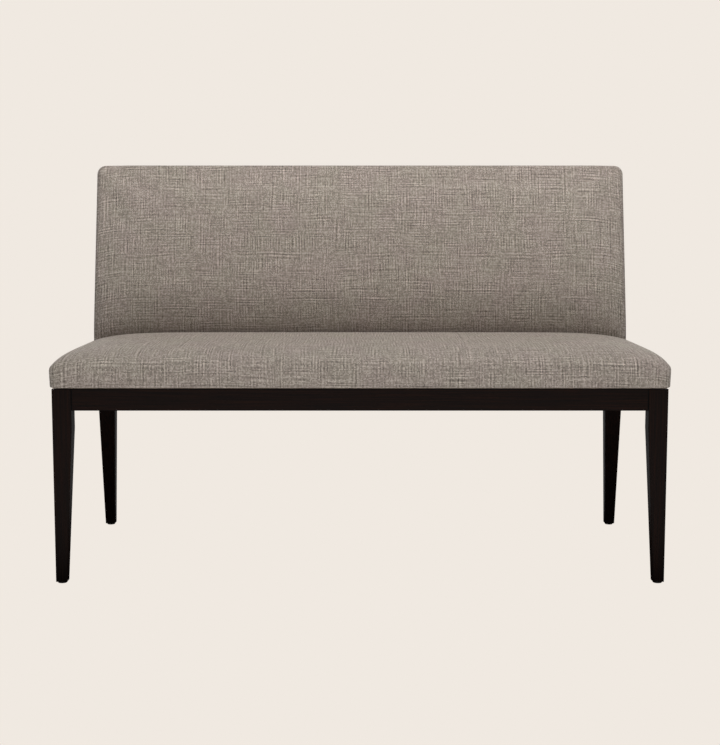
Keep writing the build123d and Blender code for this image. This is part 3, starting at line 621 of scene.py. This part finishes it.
# Dust cloth: thin black spun-bonded polypropylene, cut to the underside and stapled to the rails
# to close the seat from below.
def spunbonded_cloth():
    """Black spun-bonded cloth: matt, with a grid of small pressed dots 2.5 mm apart."""
    dot = 0.0025
    material, tree = start_material("spunbonded_cloth")
    place = add_node(tree, "ShaderNodeTexCoord")
    dots = add_node(tree, "ShaderNodeTexVoronoi", {"Vector": place.outputs["Object"]},
                    {"Scale": 1 / dot, "Randomness": 0.15})
    colour = add_node(tree, "ShaderNodeValToRGB", {"Fac": dots.outputs["Distance"]},
                      stops=[(0.15, "#0d0d0e"), (0.5, "#1c1c1e")])
    pressed = add_node(tree, "ShaderNodeBump", {"Height": dots.outputs["Distance"]},
                       {"Strength": 0.5, "Distance": 0.0003})
    shader = add_node(tree, "ShaderNodeBsdfPrincipled",
                      {"Base Color": colour.outputs["Color"], "Normal": pressed.outputs["Normal"]},
                      {"IOR": 1.49, "Roughness": 0.85, "Specular IOR Level": 0.2})
    add_node(tree, "ShaderNodeOutputMaterial", {"Surface": shader.outputs["BSDF"]})
    return material


def start_sheet(name, middle, width, length, turn):
    """A flat sheet, turned about the X axis, in edit mode, with nothing else selected."""
    bpy.ops.object.select_all(action="DESELECT")
    bpy.ops.mesh.primitive_plane_add(size=1.0, location=middle, rotation=(turn, 0, 0))
    sheet = bpy.context.object
    sheet.name = name
    sheet.scale = (width, length, 1.0)
    bpy.ops.object.transform_apply(location=True, rotation=True, scale=True)
    bpy.ops.object.mode_set(mode="EDIT")
    return sheet


def thicken(sheet, thickness):
    """Give a sheet its thickness, half on each side."""
    skin = sheet.modifiers.new("skin", "SOLIDIFY")
    skin.thickness = thickness
    skin.offset = 0.0
    bpy.ops.object.modifier_apply(modifier="skin")


dust_half, dust_front, dust_rear, dust_height = 0.6095, -0.2735, 0.1200, 0.4206
dust_thickness, sheet_grid, sheet_edge = 0.0006, 0.02, radians(40)
# Slack ripples: their height, their radians to the metre, and how far from the edge they start.
ripple, ripple_across, ripple_along, ripple_start = 0.0003, 41, 37, 0.05
dust_cloth = start_sheet("dust_cloth", (0, (dust_front + dust_rear) / 2, dust_height),
                         2 * dust_half, dust_rear - dust_front, 0.0)
cut_grid("X", -dust_half + sheet_grid, dust_half - sheet_grid, sheet_grid)
cut_grid("Y", dust_front + sheet_grid, dust_rear - sheet_grid, sheet_grid)
bpy.ops.object.mode_set(mode="OBJECT")
for v in dust_cloth.data.vertices:
    inside = min(dust_half - abs(v.co.x), v.co.y - dust_front, dust_rear - v.co.y)
    wave = sin(v.co.x * ripple_across) * cos(v.co.y * ripple_along)
    v.co.z += ripple * wave * min(1.0, inside / ripple_start)
thicken(dust_cloth, dust_thickness)
bpy.ops.object.shade_smooth_by_angle(angle=sheet_edge)
dust_cloth.data.materials.append(spunbonded_cloth())
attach(dust_cloth, "root")
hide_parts("dust_cover")


# Staples: crowns of zinc-plated wire 10 mm wide, shot through the dust cloth into the rails about
# 60 mm apart. None stand where a corner block or the crossrail lies under the cloth.
staple_crown, staple_wire, staple_pitch, staple_inset = 0.010, 0.0012, 0.060, 0.007
staple_top = dust_height - dust_thickness / 3
in_the_way = [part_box(name) for name in ("crossrail", *[f"{c}_corner_block" for c in corners])]
staples = start_box("dust_cloth_staples",
                    (-staple_crown / 2, -staple_wire / 2, staple_top - staple_wire / 2),
                    (staple_crown / 2, staple_wire / 2, staple_top))
bpy.ops.mesh.bevel(offset=staple_wire / 6, segments=2, affect="EDGES")
bpy.ops.object.mode_set(mode="OBJECT")
staple_spots = []
for turn, along, low, high in ((0.0, "X", -dust_half, dust_half),
                               (pi / 2, "Y", dust_front, dust_rear)):
    count = round((high - low) / staple_pitch)
    for i in range(count):
        run = low + (high - low) * (i + 0.5) / count
        if along == "X":
            ends = [(run, dust_front + staple_inset), (run, dust_rear - staple_inset)]
        else:
            ends = [(staple_inset - dust_half, run), (dust_half - staple_inset, run)]
        staple_spots += [(x, y, turn) for x, y in ends]
first_staple = staples.data.copy()
staples.data.clear_geometry()
for x, y, turn in staple_spots:
    if any(a.x - staple_crown < x < b.x + staple_crown and a.y - staple_crown < y < b.y + staple_crown
           for a, b in in_the_way):
        continue
    staple = bpy.data.objects.new("staple", first_staple.copy())
    staple.data.transform(Matrix.Translation((x, y, 0)) @ Matrix.Rotation(turn, 4, "Z"))
    bpy.context.scene.collection.objects.link(staple)
    staple.select_set(True)
bpy.ops.object.join()
staples.data.materials.append(zinc)
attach(staples, "root")


# Back pad: foam over webbing on the back's frame, under the same linen. One width runs up the
# front and over the top, and plain seams join it to a side panel along each upright edge.
back_half, back_top_half, back_length, back_depth = 0.6625, 0.659, 0.5045, 0.060
back_base = 0.420
back_upper = back_base + back_length
back_rear = back_foot + back_depth
panel_border, panel_recess = 0.0175, 0.0014
top_corner_radius, front_radius, rear_edge_radius = 0.022, 0.018, 0.008
top_radius, top_reach, corner_fade = 0.007, 0.070, 0.05
back_crown, crown_start, crown_rise = 0.007, 0.088, 0.14
side_fall, top_fall, top_fall_start = 8, 4, 0.55
tuck, tuck_start, tuck_reach = 0.009, 0.084, 0.022
# Painted shade in the back's crease: how dark it is, how fast it fades going up and towards the ends.
crease_shade, crease_reach, fold_shade, fold_reach = 0.36, 0.004, 0.26, 0.022
fold_fade, fold_facing = 0.09, 0.5
back_grid, deep_grid, foot_start, rear_start = 0.011, 0.012, 0.020, 0.002
tacked_height, tacked_depth, swell_cap = 0.075, 0.010, 0.005


def crease_height(x):
    """How far up the back its crease lies: it follows the seat's top down at both ends."""
    return tuck_start - crown_drop * exp(-(back_half - abs(x)) / side_reach)


def painted_fold_share(v):
    """How much painted shade darkens the cloth where the back goes down behind the seat.
    It fades towards the ends."""
    if v.normal.y > -fold_facing:
        return 0.0
    above = max(0.0, (v.co.z - back_base) / cos(lean) - crease_height(v.co.x))
    shade = crease_shade * exp(-above / crease_reach) + fold_shade * exp(-above / fold_reach)
    return shade * min(1.0, (back_half - abs(v.co.x)) / fold_fade)


def lean_back():
    """Tip the piece in hand from upright to the back's lean, about the back's foot."""
    bpy.ops.object.mode_set(mode="EDIT")
    bpy.ops.mesh.select_all(action="SELECT")
    bpy.ops.transform.rotate(value=lean, orient_axis="X", center_override=(0, back_foot, back_base))
    bpy.ops.object.mode_set(mode="OBJECT")


back_pad = start_box("back_pad", (-back_half, back_foot, back_base),
                     (back_half, back_rear, back_upper))
pick(back_pad, "EDGE", lambda p: p.z < back_base + near and p.y > back_rear - near)
bpy.ops.transform.translate(value=(0, 0, back_depth * tan(lean)))
pick(back_pad, "EDGE", lambda p: abs(p.x) > back_half - near and p.z > back_upper - near)
bpy.ops.mesh.bevel(offset=top_corner_radius, segments=6, affect="EDGES")
pick(back_pad, "FACE", lambda p: p.y > back_rear - near)
bpy.ops.mesh.inset(thickness=panel_border)
bpy.ops.mesh.extrude_region_move(TRANSFORM_OT_translate={"value": (0, -panel_recess, 0)})
pick(back_pad, "EDGE", lambda p: p.y < back_foot + near and p.z > back_base + near)
bpy.ops.mesh.bevel(offset=front_radius, segments=6, affect="EDGES")
pick(back_pad, "EDGE", lambda p: p.y > back_rear - near and p.z > back_base + foot_start
     and on_outline(abs(p.x) - back_half + top_corner_radius, p.z - back_upper + top_corner_radius,
                    top_corner_radius))
bpy.ops.mesh.bevel(offset=rear_edge_radius, segments=3, affect="EDGES")
cut_grid("X", -back_half + top_corner_radius, back_half - top_corner_radius, back_grid)
cut_grid("Z", back_base + foot_start, back_upper - top_corner_radius, back_grid)
cut_grid("Y", back_foot + front_radius, back_rear - rear_edge_radius - rear_start, deep_grid)
bpy.ops.object.mode_set(mode="OBJECT")
number_by_place(back_pad)

# The seam lies where the front's rounding meets the side.
back_seam = [v.index for v in back_pad.data.vertices
             if v.co.z < back_upper - top_corner_radius + near and abs(v.co.x) > back_half - near
             and abs(v.co.y - (back_foot + front_radius)) < seam_width]
back_held = {v.index for v in back_pad.data.vertices
             if v.co.z < back_base + tacked_height or v.co.y > back_rear - tacked_depth}
# The top edge is drawn tight, the face swells above the seat, the foot is tucked in behind it, and
# the back narrows a little towards the top.
for v in back_pad.data.vertices:
    p = v.co
    below = back_upper - p.z
    clear = min(1.0, max(0.0, (back_half - top_corner_radius - abs(p.x)) / corner_fade))
    lower = front_radius + (top_radius - front_radius) * clear
    if below < front_radius:
        p.z = back_upper - below * lower / front_radius
    elif below < top_reach:
        p.z += (front_radius - lower) * (top_reach - below) / (top_reach - front_radius)
    up = (p.z - back_base) / back_length
    rise = max(0.0, min(1.0, (p.z - back_base - crown_start) / crown_rise))
    swell = 1 - (1 - rise) ** 2
    aside = 1 - abs(p.x / back_half) ** side_fall
    above = 1 - max(0.0, (up - top_fall_start) / (1 - top_fall_start)) ** top_fall
    tucked = tuck * exp(-max(0.0, p.z - back_base - crease_height(p.x)) / tuck_reach)
    p.y -= (back_crown * swell * aside * above - tucked) * (1 - (p.y - back_foot) / back_depth)
    p.x *= (back_half + (back_top_half - back_half) * up) / back_half
lean_back()
back_pad.data.update()
stuff(back_pad, back_held, cap=swell_cap)
sew(back_pad, back_seam, depth=seam_depth)
# Painted shade in the crease where the back goes down behind the seat.
paint_shade(back_pad, painted_fold_share)
round_off(back_pad)


def back_threads(p, normal):
    """The front panel runs up the face and over the top, and its threads droop where it is pulled
    round the upright edges. The side panels run up beside it."""
    droop, droop_reach = 0.016, 0.040
    front_cut, side_cut, facing, top_facing = 5.0, 4.0, 0.5, 0.6
    up = (p.z - back_base) * cos(lean) + (p.y - back_foot) * sin(lean)
    deep = (p.y - back_foot) * cos(lean) - (p.z - back_base) * sin(lean)
    if abs(normal.x) > facing:
        return (deep + side_cut if p.x > 0 else -deep - side_cut, up)
    if normal.z > top_facing:
        return (p.x + front_cut, back_length + deep)
    if normal.y > facing:
        return (p.x + front_cut, -up)
    return (p.x + front_cut, up + droop * exp(-(back_half - abs(p.x)) / droop_reach))


lay_threads(back_pad, back_threads)
back_pad.data.materials.append(linen)
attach(back_pad, "root")
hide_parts("back_cover", "back_foam")


# Rear panel: the same linen stretched over the hardboard and blind-stitched to the pad all round,
# with its edges turned in.
panel_gap, panel_thickness, panel_sink = 0.0008, 0.0012, 0.0007
panel_rim, panel_dip, painted_rim_shade = 0.004, 0.0009, 0.85
panel_half = back_half - panel_border - panel_gap
panel_low = back_base + back_depth * tan(lean) + panel_border + panel_gap
panel_high = back_upper - panel_border - panel_gap
rear_panel = start_sheet("rear_panel", (0, back_rear - panel_sink, (panel_low + panel_high) / 2),
                         2 * panel_half, panel_high - panel_low, -pi / 2)
cut_grid("X", -panel_half + panel_rim, panel_half - panel_rim, sheet_grid)
cut_grid("Z", panel_low + panel_rim, panel_high - panel_rim, sheet_grid)
bpy.ops.object.mode_set(mode="OBJECT")
# Painted shade darkens the rim, where the panel dips in beside the pad.
rim_shade = rear_panel.data.attributes.new("seam_and_painted_shade", "FLOAT", "POINT")
for v in rear_panel.data.vertices:
    inside = min(panel_half - abs(v.co.x), v.co.z - panel_low, panel_high - v.co.z)
    rim = max(0.0, 1 - inside / panel_rim)
    v.co.y -= panel_dip * rim
    rim_shade.data[v.index].value = painted_rim_shade * rim
    up = (v.co.z - back_base) / back_length
    v.co.x *= (back_half + (back_top_half - back_half) * up) / back_half
thicken(rear_panel, panel_thickness)
lean_back()
bpy.ops.object.shade_smooth_by_angle(angle=sheet_edge)
lay_threads(rear_panel, back_threads)
rear_panel.data.materials.append(linen)
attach(rear_panel, "root")
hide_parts("back_rear_cover")


# Studio: a pale floor as even as the backdrop, with a pool of light on it ahead of the settee. It
# can't be seen from below. Soft boxes hang overhead, at the right, low in front and behind, and the
# camera stands where the photograph was taken from.
backdrop, room_strength = "#f0e9e1", 0.01
floor_size, floor_height = 60.0, -0.0005
pool_start, pool_full, pool_edge, pool_side, pool_strength = -0.35, -0.65, 1.7, 1.0, 1.32
gleam_start, gleam_full, gleam_strength = 0.25, 0.60, 0.35
bpy.ops.object.select_all(action="DESELECT")
bpy.ops.mesh.primitive_plane_add(size=floor_size, location=(0, 0, floor_height))
floor = bpy.context.object
floor.name = "floor"
sweep, tree = start_material("paper_sweep")
ray = add_node(tree, "ShaderNodeLightPath")
place = add_node(tree, "ShaderNodeTexCoord")
spot = add_node(tree, "ShaderNodeSeparateXYZ", {"Vector": place.outputs["Object"]})
aside = add_node(tree, "ShaderNodeMath", {0: spot.outputs["X"]}, operation="ABSOLUTE")
ahead = add_node(tree, "ShaderNodeMapRange", {"Value": spot.outputs["Y"]},
                 {"From Min": pool_start, "From Max": pool_full},
                 interpolation_type="SMOOTHSTEP")
between = add_node(tree, "ShaderNodeMapRange", {"Value": aside.outputs["Value"]},
                   {"From Min": pool_edge, "From Max": pool_side, "To Max": pool_strength},
                   interpolation_type="SMOOTHSTEP")
behind = add_node(tree, "ShaderNodeMapRange", {"Value": spot.outputs["Y"]},
                  {"From Min": gleam_start, "From Max": gleam_full, "To Max": gleam_strength},
                  interpolation_type="SMOOTHSTEP")
shine = add_node(tree, "ShaderNodeMath", {0: behind.outputs["Result"],
                                          1: ray.outputs["Is Glossy Ray"]}, operation="MULTIPLY")
bright = add_node(tree, "ShaderNodeMath", {0: ahead.outputs["Result"],
                                           1: between.outputs["Result"],
                                           2: shine.outputs["Value"]}, operation="MULTIPLY_ADD")
lit = add_node(tree, "ShaderNodeEmission", {"Strength": bright.outputs["Value"]},
               {"Color": linear("#ffffff")})
glow = add_node(tree, "ShaderNodeEmission", values={"Color": linear(backdrop), "Strength": 1.0})
both = add_node(tree, "ShaderNodeMixShader", {0: ray.outputs["Is Camera Ray"],
                                              1: lit.outputs["Emission"],
                                              2: glow.outputs["Emission"]})
underneath = add_node(tree, "ShaderNodeNewGeometry")
nothing = add_node(tree, "ShaderNodeBsdfTransparent")
one_sided = add_node(tree, "ShaderNodeMixShader", {0: underneath.outputs["Backfacing"],
                                                   1: both.outputs["Shader"],
                                                   2: nothing.outputs["BSDF"]})
add_node(tree, "ShaderNodeOutputMaterial", {"Surface": one_sided.outputs["Shader"]})
floor.data.materials.append(sweep)

world = bpy.data.worlds.new("studio")
bpy.context.scene.world = world
world.use_nodes = True
tree = world.node_tree
tree.nodes.clear()
ray = add_node(tree, "ShaderNodeLightPath")
seen = add_node(tree, "ShaderNodeBackground", values={"Color": linear(backdrop), "Strength": 1.0})
room = add_node(tree, "ShaderNodeBackground", values={"Color": linear("#ffffff"),
                                                      "Strength": room_strength})
both = add_node(tree, "ShaderNodeMixShader", {0: ray.outputs["Is Camera Ray"],
                                              1: room.outputs["Background"],
                                              2: seen.outputs["Background"]})
add_node(tree, "ShaderNodeOutputWorld", {"Surface": both.outputs["Shader"]})


def soft_box(name, place, target, width, height, watts):
    """A rectangular soft box that faces its target."""
    lamp = bpy.data.lights.new(name, "AREA")
    lamp.shape = "RECTANGLE"
    lamp.size = width
    lamp.size_y = height
    lamp.energy = watts
    lamp.color = linear("#ffffff")[:3]
    holder = bpy.data.objects.new(name, lamp)
    bpy.context.scene.collection.objects.link(holder)
    holder.location = place
    aim = [b - a for a, b in zip(place, target)]
    holder.rotation_euler = (atan2(sqrt(aim[0] ** 2 + aim[1] ** 2), -aim[2]), 0,
                             atan2(aim[1], aim[0]) - pi / 2)


soft_box("overhead_box", (0, -0.35, 1.9), (0, -0.2, 0.6), 4.2, 0.8, 31.4)
soft_box("right_box", (1.6, -0.6, 1.7), (0.5, 0, 0.6), 0.8, 0.8, 3.4)
soft_box("low_box", (0, -2.2, 0.1), (0, 0, 0.7), 3.0, 0.2, 7.8)
soft_box("rear_left_box", (-1.6, 2.4, 0.9), (0, 0.2, 0.5), 1.2, 1.2, 20.0)
soft_box("rear_right_box", (1.6, 2.4, 0.9), (0, 0.2, 0.5), 1.2, 1.2, 20.0)

camera_place, camera_pitch, camera_lens, camera_sensor = (0, -3.178, 0.766), 6.195, 65.92, 36.0
view = bpy.data.cameras.new("camera")
view.lens = camera_lens
view.sensor_width = camera_sensor
camera = bpy.data.objects.new("camera", view)
bpy.context.scene.collection.objects.link(camera)
camera.location = camera_place
camera.rotation_euler = (radians(90 - camera_pitch), 0, 0)
bpy.context.scene.camera = camera
bpy.context.scene.view_settings.view_transform = "Standard"
